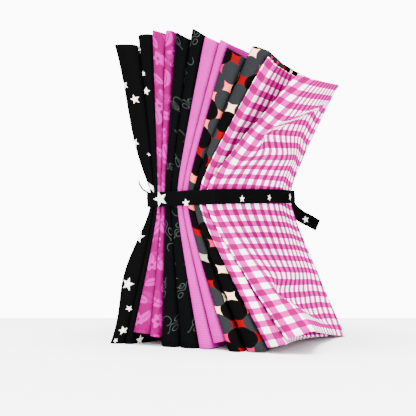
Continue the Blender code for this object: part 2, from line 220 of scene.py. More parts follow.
def doubled_line(folds, sides, level):
    """The middle of the doubled cloth at one level, and half its thickness."""
    half = between(PRESSED_CLOTH, LOOSE_CLOTH, flare(level)) / 2
    outer_left, inner_left, inner_right, outer_right = sides
    front = -DEPTH / 2 + PULLED_IN * (1 - flare(level)) + half
    back = DEPTH / 2 - PULLED_IN * (1 - flare(level)) - half

    def half_gap(left, right, y):
        return (pass_point(right, y, level, 0)[0] - pass_point(left, y, level, 0)[0]) / 2 - half

    spine_deep = min(DEEPEST_BEND, half_gap(outer_left, outer_right, back))
    spine_y = back - spine_deep
    halves = []
    for fold, left, right in zip(folds, (outer_left, inner_right), (inner_left, outer_right)):
        fold_front = front - fold.forward * MM * flare(level)
        turn = fold.turn * MM * flare(level)
        deep = min(DEEPEST_BEND, half_gap(left, right, fold_front))
        bend_y = fold_front + deep
        loop = bend_points(left, right, bend_y, -deep, level, half, turn, FOLD_STEPS)
        raw_y = between(bend_y, spine_y, RAW_EDGE)
        if left is outer_left:
            inner = pass_points(right, bend_y, raw_y, level, -half)
            raw = pass_point(right, raw_y, level, -half)
            outer = pass_points(left, bend_y, spine_y, level, half)
            halves.append([raw, *inner[::-1], *loop[::-1], *outer])
        else:
            inner = pass_points(left, bend_y, raw_y, level, half)
            raw = pass_point(left, raw_y, level, half)
            outer = pass_points(right, bend_y + turn, spine_y, level, -half)
            halves.append([*outer[::-1], *loop[::-1], *inner, raw])
    spine = bend_points(outer_left, outer_right, spine_y, spine_deep, level, half, 0, SPINE_STEPS)
    return [*halves[0], *spine, *halves[1]], half


def ways_aside(line):
    """The level direction square to the line at each of its points."""
    ways = []
    for i, here in enumerate(line):
        before, after = line[max(i - 1, 0)], line[min(i + 1, len(line) - 1)]
        into = math.dist(before[:2], here[:2]) or 1
        out = math.dist(after[:2], here[:2]) or 1
        along_x = (here[0] - before[0]) / into + (after[0] - here[0]) / out
        along_y = (here[1] - before[1]) / into + (after[1] - here[1]) / out
        long = math.hypot(along_x, along_y)
        ways.append((-along_y / long, along_x / long))
    return ways


def cloth_along(line):
    """How far along the cut each point is.

    The threads run true beside the left edge of each near fold, and on the outer right pass. The
    outer left pass takes up what is over.
    """
    run = [0.0]
    for a, b in zip(line, line[1:]):
        run.append(run[-1] + math.dist(a, b))
    first_edge = PASS_STEPS + FOLD_STEPS
    spine_end = first_edge + PASS_STEPS + SPINE_STEPS
    second_edge = spine_end + PASS_STEPS + FOLD_STEPS
    first_u, second_u = (crease * CUT[1] / 4 + FOLD_EDGE for crease in (1, 3))
    spine_u = second_u - (run[second_edge] - run[spine_end])
    slack = (spine_u - first_u) / (run[spine_end] - run[first_edge])
    places = []
    for i, here in enumerate(run):
        if i < first_edge:
            places.append(first_u + here - run[first_edge])
        elif i < spine_end:
            places.append(first_u + (here - run[first_edge]) * slack)
        else:
            places.append(second_u + here - run[second_edge])
    return places


def heights_across(grid):
    """How far across the cut each point is, from one raw edge over the top to the other."""
    last = len(grid) - 1
    top = last // 2
    heights = [[0.0] * len(grid[0]) for _ in grid]
    for column in range(len(grid[0])):
        for row in range(1, top + 1):
            step = (grid[row][column].co - grid[row - 1][column].co).length
            heights[row][column] = heights[row - 1][column] + step
        scale = CUT[0] / 2 / heights[top][column]
        for row in range(top + 1):
            heights[row][column] *= scale
            heights[last - row][column] = CUT[0] - heights[row][column]
    return heights


def as_sheet(name, mesh, thick):
    """The mesh as an object, thickened evenly to both sides."""
    data = bpy.data.meshes.new(name)
    mesh.to_mesh(data)
    mesh.free()
    made = bpy.data.objects.new(name, data)
    bpy.context.scene.collection.objects.link(made)
    bpy.ops.object.select_all(action="DESELECT")
    bpy.context.view_layer.objects.active = made
    made.select_set(True)
    thickness = made.modifiers.new("thickness", "SOLIDIFY")
    thickness.thickness = thick
    thickness.offset = 0
    bpy.ops.object.modifier_apply(modifier=thickness.name)
    return made


def cotton_piece(name, folds, sides, uneven):
    """One folded fat quarter, as a single closed sheet of thin cloth with both of its plies."""
    steps = [step / HALF_LEVELS for step in range(HALF_LEVELS + 1)]
    levels = [-(1 - s) ** LEVEL_POWER for s in steps[:-1]] + [s**LEVEL_POWER for s in steps]
    rows = []
    for level in levels:
        line, half = doubled_line(folds, sides, level)
        rows.append((line, ways_aside(line), half - ONE_PLY / 2, cloth_along(line)))
    profile = [(row, 1.0, 0.0) for row in rows[:-1]]
    for step in range(TOP_STEPS + 1):
        angle = math.pi * step / TOP_STEPS
        profile.append((rows[-1], math.cos(angle), math.sin(angle) - 1))
    profile += [(row, -1.0, 0.0) for row in rows[-2::-1]]
    mesh = bmesh.new()
    uv = mesh.loops.layers.uv.new("cloth")
    grid, cuts = [], []
    for (line, ways, offset, along), aside, up in profile:
        grid.append([])
        cuts.append(along)
        for (x, y, z), (way_x, way_y) in zip(line, ways):
            wave = noise.noise(Vector((x, y, uneven)) / TOP_WAVES_APART) * TOP_WAVE
            lift = wave * max(0, z / FULL_HEIGHT - WAVY_FROM) / (1 - WAVY_FROM)
            shift = Vector((way_x * offset * aside, way_y * offset * aside, offset * up + lift))
            grid[-1].append(mesh.verts.new(Vector((x, y, z)) - MIDDLE + shift))
    heights = heights_across(grid)
    for row in range(len(grid) - 1):
        for column in range(len(grid[0]) - 1):
            corners = ((row, column), (row, column + 1), (row + 1, column + 1), (row + 1, column))
            face = mesh.faces.new([grid[r][c] for r, c in corners])
            face.smooth = True
            for loop, (r, c) in zip(face.loops, corners):
                loop[uv].uv = (cuts[r][c], heights[r][c])
    return as_sheet(name, mesh, ONE_PLY)


def calc(tree, operation, *values):
    """The result of one math node. The values are numbers or sockets."""
    node = tree.nodes.new("ShaderNodeMath")
    node.operation = operation
    for socket, value in zip(node.inputs, values):
        if isinstance(value, (int, float)):
            socket.default_value = value
        else:
            tree.links.new(value, socket)
    return node.outputs[0]


def blended(tree, mask, first, second):
    """The first colour where the mask is 0, and the second where it is 1."""
    node = tree.nodes.new("ShaderNodeMix")
    node.data_type = "RGBA"
    tree.links.new(mask, node.inputs["Factor"])
    for socket, value in ((node.inputs[6], first), (node.inputs[7], second)):
        if isinstance(value, tuple):
            socket.default_value = value
        else:
            tree.links.new(value, socket)
    return node.outputs[2]


def soft_step(tree, value, edge, softness):
    """1 where the value is under the edge, 0 where it is over, with a soft change between."""
    node = tree.nodes.new("ShaderNodeMapRange")
    node.interpolation_type = "SMOOTHSTEP"
    tree.links.new(value, node.inputs["Value"])
    for name, number in (("From Min", edge - softness), ("From Max", edge + softness)):
        node.inputs[name].default_value = number
    node.inputs["To Min"].default_value = 1
    node.inputs["To Max"].default_value = 0
    return node.outputs["Result"]


def new_group(name, inputs, outputs):
    """An empty node group, and the sockets at its start and its end."""
    group = bpy.data.node_groups.new(name, "ShaderNodeTree")
    for label, kind, value in inputs:
        socket = group.interface.new_socket(label, in_out="INPUT", socket_type="NodeSocket" + kind)
        if value is not None:
            socket.default_value = value
    for label, kind in outputs:
        group.interface.new_socket(label, in_out="OUTPUT", socket_type="NodeSocket" + kind)
    start = group.nodes.new("NodeGroupInput")
    end = group.nodes.new("NodeGroupOutput")
    return group, start.outputs, end.inputs


def millimetres(tree, place):
    """The two directions along the cloth, in millimetres."""
    parts = tree.nodes.new("ShaderNodeSeparateXYZ")
    tree.links.new(place, parts.inputs[0])
    return tuple(calc(tree, "MULTIPLY", parts.outputs[i], 1 / MM) for i in range(2))


def shifted(tree, u, v, along, across):
    return calc(tree, "ADD", u, along), calc(tree, "ADD", v, across)


THREAD = 0.34  # mm from one thread to the next
SLUB_SCALE, SLUB_HEIGHT = 900, 0.8
DARK_THREAD = 0.86


def weave_group():
    """Plain weave: threads over and under each other, with slubs, as a height and a tone."""
    inputs = [("Place", "Vector", None), ("Thread", "Float", THREAD)]
    outputs = [("Height", "Float"), ("Tone", "Float")]
    group, given, put = new_group("plain weave", inputs, outputs)
    u, v = millimetres(group, given["Place"])
    waves = []
    for value in (u, v):
        turn = calc(group, "MULTIPLY", calc(group, "DIVIDE", value, given["Thread"]), math.pi)
        waves.append(calc(group, "ABSOLUTE", calc(group, "SINE", turn)))
    over = calc(group, "MULTIPLY", waves[0], waves[1])
    slub = group.nodes.new("ShaderNodeTexNoise")
    slub.inputs["Scale"].default_value = SLUB_SCALE
    slub.inputs["Detail"].default_value = 3
    group.links.new(given["Place"], slub.inputs["Vector"])
    raised = calc(group, "MULTIPLY", slub.outputs[0], SLUB_HEIGHT)
    group.links.new(calc(group, "ADD", over, raised), put["Height"])
    group.links.new(slub.outputs[0], put["Tone"])
    return group


weave = weave_group()


def cotton(name):
    """A cotton material with its weave: its tree, its cloth coordinates, tone and colour socket."""
    made = bpy.data.materials.new(name)
    made.use_nodes = True
    tree = made.node_tree
    shader = tree.nodes["Principled BSDF"]
    shader.inputs["Roughness"].default_value = 0.85
    shader.inputs["Specular IOR Level"].default_value = 0.0
    cloth = tree.nodes.new("ShaderNodeUVMap")
    cloth.uv_map = "cloth"
    threads = tree.nodes.new("ShaderNodeGroup")
    threads.node_tree = weave
    tree.links.new(cloth.outputs[0], threads.inputs["Place"])
    bump = tree.nodes.new("ShaderNodeBump")
    bump.inputs["Strength"].default_value = 0.35
    bump.inputs["Distance"].default_value = 0.08 * MM
    tree.links.new(threads.outputs["Height"], bump.inputs["Height"])
    tree.links.new(bump.outputs[0], shader.inputs["Normal"])
    return made, tree, cloth.outputs[0], threads.outputs["Tone"], shader.inputs["Base Color"]


def toned(tree, colour, tone):
    """The colour, a little darker where the thread's tone is low."""
    node = tree.nodes.new("ShaderNodeMix")
    node.data_type = "RGBA"
    node.blend_type = "MULTIPLY"
    node.inputs["Factor"].default_value = 1
    ramp = tree.nodes.new("ShaderNodeMapRange")
    tree.links.new(tone, ramp.inputs["Value"])
    ramp.inputs["From Min"].default_value = 0.3
    ramp.inputs["From Max"].default_value = 0.7
    ramp.inputs["To Min"].default_value = DARK_THREAD
    tree.links.new(colour, node.inputs[6])
    tree.links.new(ramp.outputs["Result"], node.inputs[7])
    return node.outputs[2]


ROW_SHIFT = 1000  # even, and enough that no row has a negative number


def scatter(tree, u, v, pitch, seed, stagger=0.5):
    """A grid with one motif in each cell: local x and y in mm, and four random numbers of the cell.

    Every second row is staggered by this share of a cell.
    """
    row = calc(tree, "FLOOR", calc(tree, "DIVIDE", v, pitch))
    odd = calc(tree, "MODULO", calc(tree, "ADD", row, ROW_SHIFT), 2.0)
    odd = calc(tree, "MULTIPLY", odd, stagger)
    across = calc(tree, "ADD", calc(tree, "DIVIDE", u, pitch), odd)
    column = calc(tree, "FLOOR", across)
    cell = tree.nodes.new("ShaderNodeCombineXYZ")
    tree.links.new(column, cell.inputs[0])
    tree.links.new(row, cell.inputs[1])
    cell.inputs[2].default_value = seed
    chance = tree.nodes.new("ShaderNodeTexWhiteNoise")
    chance.noise_dimensions = "3D"
    tree.links.new(cell.outputs[0], chance.inputs["Vector"])
    parts = tree.nodes.new("ShaderNodeSeparateColor")
    tree.links.new(chance.outputs["Color"], parts.inputs[0])
    x = calc(tree, "SUBTRACT", calc(tree, "SUBTRACT", across, column), 0.5)
    y = calc(tree, "SUBTRACT", calc(tree, "SUBTRACT", calc(tree, "DIVIDE", v, pitch), row), 0.5)
    return (
        calc(tree, "MULTIPLY", x, pitch),
        calc(tree, "MULTIPLY", y, pitch),
        (parts.outputs[0], parts.outputs[1], parts.outputs[2], chance.outputs["Value"]),
    )


def any_turn(tree, chance):
    """The random number as an angle."""
    return calc(tree, "MULTIPLY", chance, math.tau)


def off_centre(tree, x, chance, room):
    """Moved from the middle of the cell by up to half this room, to either side."""
    move = calc(tree, "MULTIPLY", calc(tree, "SUBTRACT", chance, 0.5), room)
    return calc(tree, "SUBTRACT", x, move)


def turned(tree, x, y, angle):
    """The coordinates, turned about the origin."""
    c, s = calc(tree, "COSINE", angle), calc(tree, "SINE", angle)
    new_x = calc(tree, "SUBTRACT", calc(tree, "MULTIPLY", x, c), calc(tree, "MULTIPLY", y, s))
    new_y = calc(tree, "ADD", calc(tree, "MULTIPLY", x, s), calc(tree, "MULTIPLY", y, c))
    return new_x, new_y


def far_from(tree, x, y):
    """How far the point is from the origin."""
    squares = calc(tree, "MULTIPLY", x, x), calc(tree, "MULTIPLY", y, y)
    return calc(tree, "SQRT", calc(tree, "ADD", *squares))


# The straight edge from a point of the star to the notch beside it, for a star of size 1, is where
# x times the first plus y times the second is the first again.
EDGE_ALONG, EDGE_ACROSS = 0.350, 0.937


def star_group():
    """A five-point star round the origin, as a mask."""
    sockets = [(label, "Float", 0) for label in ("X", "Y", "Size", "Turn")]
    group, given, put = new_group("five-point star", sockets, [("Mask", "Float")])
    x, y = turned(group, given["X"], given["Y"], given["Turn"])
    fifth = math.tau / 5
    angle = calc(group, "ADD", calc(group, "ARCTAN2", y, x), math.tau + fifth / 2)
    off = calc(group, "SUBTRACT", calc(group, "MODULO", angle, fifth), fifth / 2)
    off = calc(group, "ABSOLUTE", off)
    along = calc(group, "MULTIPLY", calc(group, "COSINE", off), EDGE_ALONG)
    across = calc(group, "MULTIPLY", calc(group, "SINE", off), EDGE_ACROSS)
    out = calc(group, "MULTIPLY", far_from(group, x, y), calc(group, "ADD", along, across))
    edge = calc(group, "SUBTRACT", calc(group, "DIVIDE", out, given["Size"]), EDGE_ALONG)
    group.links.new(soft_step(group, edge, 0, 0.02), put["Mask"])
    return group


five_point_star = star_group()
# A star's place on the cloth and its size are in millimetres, and its turn in radians.
Star = namedtuple("Star", "along across size turn")
Scattered = namedtuple("Scattered", "pitch smallest largest kept seed")
SCATTERED_STARS = (Scattered(26, 3.4, 4.8, 0.8, 3), Scattered(17, 1.8, 2.8, 0.4, 8))
RESHUFFLE = 7.3  # makes a second random number of one
BLACK, CREAM_STAR = (0.0016, 0.0016, 0.0017, 1), (0.90, 0.86, 0.78, 1)


def star(tree, x, y, size, turn):
    """The mask of one star, from coordinates that start at its centre."""
    node = tree.nodes.new("ShaderNodeGroup")
    node.node_tree = five_point_star
    for label, value in (("X", x), ("Y", y), ("Size", size), ("Turn", turn)):
        if isinstance(value, (int, float)):
            node.inputs[label].default_value = value
        else:
            tree.links.new(value, node.inputs[label])
    return node.outputs[0]


def scattered_stars(tree, u, v, stars, bare):
    """Stars of random sizes and turns, one to a cell at most, none centred in the bare bands."""
    x, y, chance = scatter(tree, u, v, stars.pitch, stars.seed)
    room = stars.pitch - 2 * stars.largest
    x, y = off_centre(tree, x, chance[0], room), off_centre(tree, y, chance[1], room)
    size = calc(tree, "MULTIPLY", chance[2], stars.largest - stars.smallest)
    size = calc(tree, "ADD", size, stars.smallest)
    mask = star(tree, x, y, size, any_turn(tree, chance[3]))
    again = calc(tree, "FRACT", calc(tree, "MULTIPLY", chance[3], RESHUFFLE))
    mask = calc(tree, "MULTIPLY", mask, calc(tree, "LESS_THAN", again, stars.kept))
    centre = calc(tree, "SUBTRACT", u, x)
    for middle, half in bare:
        off_band = calc(tree, "ABSOLUTE", calc(tree, "SUBTRACT", centre, middle))
        mask = calc(tree, "MULTIPLY", mask, calc(tree, "GREATER_THAN", off_band, half))
    return mask


def starred_cotton(name, placed, bare=None):
    """Black cotton with cream stars: some given one by one, and others at random.

    The bare bands are pairs of a middle and a half width, in millimetres along the cloth.
    """
    made, tree, place, tone, colour = cotton(name)
    u, v = millimetres(tree, place)
    mask = 0
    for row in placed:
        x, y = shifted(tree, u, v, -row.along, -row.across)
        mask = calc(tree, "MAXIMUM", mask, star(tree, x, y, row.size, row.turn))
    if bare:
        for stars in SCATTERED_STARS:
            mask = calc(tree, "MAXIMUM", mask, scattered_stars(tree, u, v, stars, bare))
    printed = blended(tree, mask, BLACK, CREAM_STAR)
    tree.links.new(toned(tree, printed, tone), colour)
    return made


starred_folds = (
    Fold(11.3, 2.6, 20.8, 0.0, 223, 0.0, 2, 0.0, 0.0),
    Fold(5.8, 2.6, 14.3, 0.0, 228, 0.0, 1, -2.0, 0.0),
)
first_swell = Swell(-7.5 * MM, 0.05, 0.98, -10.5 * MM, 0.0, 0.95, 0.6)
starred_swells = (first_swell, NO_SWELL, NO_SWELL, NO_SWELL)
starred_sides = four_passes(starred_folds, Spine(18.0, 9.2, 18.0, 224), starred_swells)
starred = cotton_piece("starred_cloth", starred_folds, starred_sides, 1.3)
# Where the stars are that the photo shows on the two near folds, in millimetres of the cloth.
SEEN_STARS = (
    Star(141.5, 196.4, 3.4, 0.1),
    Star(134.4, 185.6, 3.8, -0.1),
    Star(141.6, 153, 3.6, 0.2),
    Star(143.6, 117.6, 4.4, 0.0),
    Star(143.2, 79.6, 4.8, -0.1),
    Star(136.6, 44.5, 5.0, -0.45),
    Star(134.1, 26.8, 2.4, 0.3),
    Star(136.6, 10.3, 3.3, 0.0),
    Star(139.5, 2.5, 2.0, 0.4),
    Star(133.5, 143.5, 1.2, 0.0),
    Star(424, 217, 3.2, -0.5),
    Star(422.3, 199, 2.2, -0.2),
    Star(422, 186, 3.3, -0.6),
    Star(413, 2.5, 4.2, -0.2),
)
first_face, second_face = (crease * CUT[1] / MM / 4 for crease in (1, 3))
bare_bands = ((first_face, 15), (second_face, 13))
black_cotton = starred_cotton("black cotton with cream stars", SEEN_STARS, bare_bands)
starred.data.materials.append(black_cotton)
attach(starred, "root")
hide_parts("starred")

# ---------------------------------------------------------------------------------------------
# The floral cloth is magenta cotton, printed tone on tone with leaves and flowers. Its near folds
# stand a little off the table.
floral_folds = (
    Fold(16.2, 2.4, 11.4, 9.4, 228, -1.0, 4, 1.0, 0.0),
    Fold(6.8, 2.4, 6.2, 7.4, 225, -1.0, 1, 1.0, 0.0),
)
floral_sides = four_passes(floral_folds, Spine(20.4, 9.6, 18.0, 227), (NO_SWELL,) * 4)
floral = cotton_piece("floral_cloth", floral_folds, floral_sides, 2.7)
LEAF_BOW, VEIN_HALF, VEIN_ENDS = 0.04, 0.28, 0.8
PETALS, PETAL_LONG, PETAL_SWING, EYE, OFF_CENTRE = 5, 0.8, 0.24, 0.24, 0.3
CLEAR = 500  # mm, added so that every cell has a positive number
MAGENTA, LIGHTER, PETAL = (0.14, 0.0, 0.062, 1), (0.18, 0.0, 0.09, 1), (0.31, 0.001, 0.185, 1)


def leaves(tree, u, v, pitch, long, wide, seed):
    """Rounded leaves, and a thin vein down the middle of each."""
    x, y, chance = scatter(tree, u, v, pitch, seed)
    x, y = turned(tree, x, y, any_turn(tree, chance[0]))
    bow = calc(tree, "MULTIPLY", calc(tree, "MULTIPLY", x, x), LEAF_BOW)
    bowed = calc(tree, "ADD", y, bow)
    inside = far_from(tree, calc(tree, "DIVIDE", x, long), calc(tree, "DIVIDE", bowed, wide))
    vein = soft_step(tree, calc(tree, "ABSOLUTE", bowed), VEIN_HALF, 0.1)
    vein = calc(tree, "MULTIPLY", vein, soft_step(tree, inside, VEIN_ENDS, 0.05))
    return soft_step(tree, inside, 1, 0.05), vein


def flowers(tree, u, v, pitch, size, seed):
    """Flowers of five rounded petals, and the eye of each."""
    x, y, chance = scatter(tree, u, v, pitch, seed)
    room = -pitch * OFF_CENTRE
    x, y = off_centre(tree, x, chance[0], room), off_centre(tree, y, chance[1], room)
    far = far_from(tree, x, y)
    petal = calc(tree, "COSINE", calc(tree, "MULTIPLY", calc(tree, "ARCTAN2", y, x), PETALS))
    rim = calc(tree, "SUBTRACT", far, calc(tree, "MULTIPLY", petal, size * PETAL_SWING))
    return soft_step(tree, rim, size * PETAL_LONG, 0.15), soft_step(tree, far, size * EYE, 0.12)


floral_cotton, tree, place, tone, colour = cotton("magenta cotton with tonal leaves")
u, v = shifted(tree, *millimetres(tree, place), CLEAR, CLEAR)
leaf, vein = leaves(tree, u, v, 14, 6.6, 3.0, 4)
second_leaf, second_vein = leaves(tree, *shifted(tree, u, v, 6.5, 5.0), 15, 6.4, 3.4, 9)
bloom, eye = flowers(tree, u, v, 20, 5.0, 15)
ground = blended(tree, second_leaf, MAGENTA, LIGHTER)
ground = blended(tree, leaf, ground, PETAL)
ground = blended(tree, calc(tree, "MAXIMUM", vein, second_vein), ground, MAGENTA)
ground = blended(tree, bloom, ground, PETAL)
ground = blended(tree, eye, ground, MAGENTA)
tree.links.new(toned(tree, ground, tone), colour)
floral.data.materials.append(floral_cotton)
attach(floral, "root")
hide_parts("floral")

# ---------------------------------------------------------------------------------------------
# The sprigged cloth is black cotton, printed with thin grey-green lines: sprigs of two leaves, and
# open curls. It carries much of the bundle's weight on its straight foot.
sprigged_folds = (
    Fold(14.8, 4.8, 12.8, 0.0, 224, 0.0, 7, 0.0, 0.0),
    Fold(14.8, 4.8, 11.0, 0.0, 224, 0.0, 6, 0.0, 0.0),
)
sprigged_sides = four_passes(sprigged_folds, Spine(21.0, 9.8, 20.4, 226), (NO_SWELL,) * 4)
sprigged = cotton_piece("sprigged_cloth", sprigged_folds, sprigged_sides, 4.1)
STEM_WAVES, STEM_SWING, STEM_HALF = 0.55, 1.3, 9.5
LEAF_PLACES, LEAF_LONG, LEAF_WIDE, LEAF_LINE = ((-2.6, 2.2), (3.2, -1.6)), 2.6, 1.3, 0.11
LINE_HALF, LINE_SOFT = 0.2, 0.08
CURL_RADIUS, CURL_OPENS = 3.4, 1.6
PRINTED_BLACK, GREY_GREEN = (0.0016, 0.0017, 0.0018, 1), (0.026, 0.035, 0.031, 1)


def sprigs(tree, u, v, pitch, seed):
    """Line drawing: a wavy stem with two leaves in outline, in each cell."""
    x, y, chance = scatter(tree, u, v, pitch, seed)
    x, y = turned(tree, x, y, any_turn(tree, chance[0]))
    wave = calc(tree, "SINE", calc(tree, "MULTIPLY", x, STEM_WAVES))
    off_stem = calc(tree, "SUBTRACT", y, calc(tree, "MULTIPLY", wave, STEM_SWING))
    stem = soft_step(tree, calc(tree, "ABSOLUTE", off_stem), LINE_HALF, LINE_SOFT)
    drawn = calc(tree, "MULTIPLY", stem, soft_step(tree, calc(tree, "ABSOLUTE", x), STEM_HALF, 0.2))
    for leaf_x, leaf_y in LEAF_PLACES:
        leaf_u = calc(tree, "DIVIDE", calc(tree, "SUBTRACT", x, leaf_x), LEAF_LONG)
        leaf_v = calc(tree, "DIVIDE", calc(tree, "SUBTRACT", y, leaf_y), LEAF_WIDE)
        off_rim = calc(tree, "ABSOLUTE", calc(tree, "SUBTRACT", far_from(tree, leaf_u, leaf_v), 1))
        drawn = calc(tree, "MAXIMUM", drawn, soft_step(tree, off_rim, LEAF_LINE, 0.05))
    return drawn


def curls(tree, u, v, pitch, seed):
    """Open rings, each about two thirds of a circle."""
    x, y, chance = scatter(tree, u, v, pitch, seed)
    x, y = turned(tree, x, y, any_turn(tree, chance[1]))
    off_ring = calc(tree, "ABSOLUTE", calc(tree, "SUBTRACT", far_from(tree, x, y), CURL_RADIUS))
    opened = calc(tree, "LESS_THAN", calc(tree, "ARCTAN2", y, x), CURL_OPENS)
    return calc(tree, "MULTIPLY", soft_step(tree, off_ring, LINE_HALF, LINE_SOFT), opened)


sprigged_cotton, tree, place, tone, colour = cotton("black cotton with fine sprigs")
u, v = shifted(tree, *millimetres(tree, place), CLEAR, CLEAR)
open_curls = curls(tree, *shifted(tree, u, v, 9, 8), 27, 33)
lines = calc(tree, "MAXIMUM", sprigs(tree, u, v, 23, 21), open_curls)
printed = blended(tree, lines, PRINTED_BLACK, GREY_GREEN)
tree.links.new(toned(tree, printed, tone), colour)
sprigged.data.materials.append(sprigged_cotton)
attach(sprigged, "root")
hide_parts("sprigged")

# ---------------------------------------------------------------------------------------------
# The ribbed cloth is light pink cotton, woven with fine ribs across it. Its colour carries painted
# light: a painted highlight along each rib, and painted shade between the ribs.
ribbed_folds = (
    Fold(10.8, 3.9, 13.6, 0.0, 217, 1.0, 5, 0.0, 0.0),
    Fold(10.8, 3.9, 8.2, 4.4, 213, 2.0, 3, -1.0, 0.0),
)
ribbed_sides = four_passes(ribbed_folds, Spine(21.0, 9.8, 21.0, 222), (NO_SWELL,) * 4)
ribbed = cotton_piece("ribbed_cloth", ribbed_folds, ribbed_sides, 5.9)
RIB_PITCH, RIB_STRENGTH, RIB_WOBBLES = 1.2, 0.7, 60
# Painted light: a darker pink for painted shade between the ribs, a lighter one for a painted
# highlight on them.
SHADED_BETWEEN_RIBS, HIGHLIT_ON_RIBS = (0.29, 0.0, 0.165, 1), (0.44, 0.008, 0.29, 1)
ribbed_cotton, tree, place, tone, colour = cotton("light pink ribbed cotton")
_, v = millimetres(tree, place)
wobble = tree.nodes.new("ShaderNodeTexNoise")
wobble.inputs["Scale"].default_value = RIB_WOBBLES
tree.links.new(place, wobble.inputs["Vector"])
strength = calc(tree, "MULTIPLY", wobble.outputs[0], RIB_STRENGTH)
rib = calc(tree, "SINE", calc(tree, "MULTIPLY", v, math.tau / RIB_PITCH))
rib = calc(tree, "MULTIPLY", calc(tree, "ADD", rib, 1), strength)
ribs = blended(tree, rib, SHADED_BETWEEN_RIBS, HIGHLIT_ON_RIBS)
tree.links.new(toned(tree, ribs, tone), colour)
ribbed.data.materials.append(ribbed_cotton)
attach(ribbed, "root")
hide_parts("ribbed")

# ---------------------------------------------------------------------------------------------
# The dotted cloth is printed with black and charcoal dots, packed close on a grid that lies at 45
# degrees to the folds, on a ground that changes between reds, corals, peach and cream.
dotted_folds = (
    Fold(10.8, 4.1, 21.6, 0.0, 206, 0.0, 8, 3.0, 0.0),
    Fold(16.6, 4.1, 21.2, 0.0, 205, 1.5, 5, 0.0, 0.0),
)
dotted_sides = four_passes(dotted_folds, Spine(21.6, 9.8, 22.4, 211), (NO_SWELL,) * 4)
dotted = cotton_piece("dotted_cloth", dotted_folds, dotted_sides, 7.1)
DOT_PITCH, DOT_RADIUS, BLACK_SHARE = 14.4, 7.6, 0.55
CHARCOAL = (0.0125, 0.0135, 0.0145, 1)
RED, CORAL, PEACH, CREAM, SAGE = (
    (0.13, 0.0, 0.002, 1),
    (0.34, 0.004, 0.055, 1),
    (0.68, 0.10, 0.085, 1),
    (0.93, 0.56, 0.35, 1),
    (0.29, 0.29, 0.165, 1),
)
GROUNDS = ((0.30, CORAL), (0.58, PEACH), (0.80, CREAM), (0.94, SAGE))
dotted_cotton, tree, place, tone, colour = cotton("dotted cotton on red and coral")
u, v = turned(tree, *millimetres(tree, place), math.pi / 4)
u, v = shifted(tree, u, v, 2 * CLEAR, 2 * CLEAR)
_, _, patch = scatter(tree, *shifted(tree, u, v, DOT_PITCH / 2, DOT_PITCH / 2), DOT_PITCH, 8, 0)
ground = RED
for start, shade in GROUNDS:
    ground = blended(tree, calc(tree, "GREATER_THAN", patch[0], start), ground, shade)
x, y, chance = scatter(tree, u, v, DOT_PITCH, 6, 0)
dark = blended(tree, calc(tree, "GREATER_THAN", chance[2], BLACK_SHARE), BLACK, CHARCOAL)
dot = soft_step(tree, far_from(tree, x, y), DOT_RADIUS, 0.15)
printed = blended(tree, dot, ground, dark)
tree.links.new(toned(tree, printed, tone), colour)
dotted.data.materials.append(dotted_cotton)
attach(dotted, "root")
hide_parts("dotted")

# ---------------------------------------------------------------------------------------------
# The gingham is woven from magenta and white yarn in 5 mm checks. It is the last of the stack, so
# its outer side shows whole, drawn in to a bowl by the tie.
gingham_folds = (
    Fold(17.2, 4.6, 13.6, 3.6, 196, 3.0, 6, 0.0, 0.0),
    Fold(26.0, 5.0, 20.0, 9.6, 181, 7.0, 4, 0.0, 7.0, 40.2),
)
last_swell = Swell(12 * MM, 0.03, 0.60, 5 * MM, 0.40, 1.50)
gingham_swells = (NO_SWELL, NO_SWELL, NO_SWELL, last_swell)
gingham_lips = (False, True, True, True)
gingham_spine = Spine(18.4, 9.8, 26.0, 203)
gingham_sides = four_passes(gingham_folds, gingham_spine, gingham_swells, gingham_lips)
gingham = cotton_piece("gingham_cloth", gingham_folds, gingham_sides, 8.3)
CHECK, FIRST_CHECK = 4.95, 3.75
WHITE, ONE_BAND, BOTH_BANDS = (0.95, 0.95, 0.94, 1), (0.43, 0.0, 0.225, 1), (0.165, 0.0, 0.062, 1)
gingham_cotton, tree, place, tone, colour = cotton("magenta and white gingham")
u, v = shifted(tree, *millimetres(tree, place), FIRST_CHECK, 0)
bands = []
for value in (u, v):
    wave = calc(tree, "PINGPONG", calc(tree, "ADD", value, CHECK / 2), CHECK)
    bands.append(soft_step(tree, wave, CHECK / 2, 0.18))
one = blended(tree, calc(tree, "MAXIMUM", *bands), WHITE, ONE_BAND)
both = blended(tree, calc(tree, "MULTIPLY", *bands), one, BOTH_BANDS)
tree.links.new(toned(tree, both, tone), colour)
# Short creases run up and down from the tie, where the side is drawn in.
TIE_V, CREASE_FADE, CREASE_HEIGHT = 118, 14, 3 * MM
CREASES_ALONG, CREASES_ACROSS = 0.16, 0.02
from_tie = calc(tree, "ABSOLUTE", calc(tree, "SUBTRACT", v, TIE_V))
fade = calc(tree, "EXPONENT", calc(tree, "DIVIDE", from_tie, -CREASE_FADE))
stretched = tree.nodes.new("ShaderNodeCombineXYZ")
tree.links.new(calc(tree, "MULTIPLY", u, CREASES_ALONG), stretched.inputs[0])
tree.links.new(calc(tree, "MULTIPLY", v, CREASES_ACROSS), stretched.inputs[1])
creases = tree.nodes.new("ShaderNodeTexNoise")
creases.inputs["Scale"].default_value = 1.0
creases.inputs["Detail"].default_value = 1.0
tree.links.new(stretched.outputs[0], creases.inputs["Vector"])
shader = tree.nodes["Principled BSDF"]
gathers = tree.nodes.new("ShaderNodeBump")
gathers.inputs["Distance"].default_value = CREASE_HEIGHT
tree.links.new(calc(tree, "MULTIPLY", creases.outputs[0], fade), gathers.inputs["Height"])
tree.links.new(shader.inputs["Normal"].links[0].from_socket, gathers.inputs["Normal"])
tree.links.new(gathers.outputs[0], shader.inputs["Normal"])
gingham.data.materials.append(gingham_cotton)
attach(gingham, "root")
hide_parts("gingham")

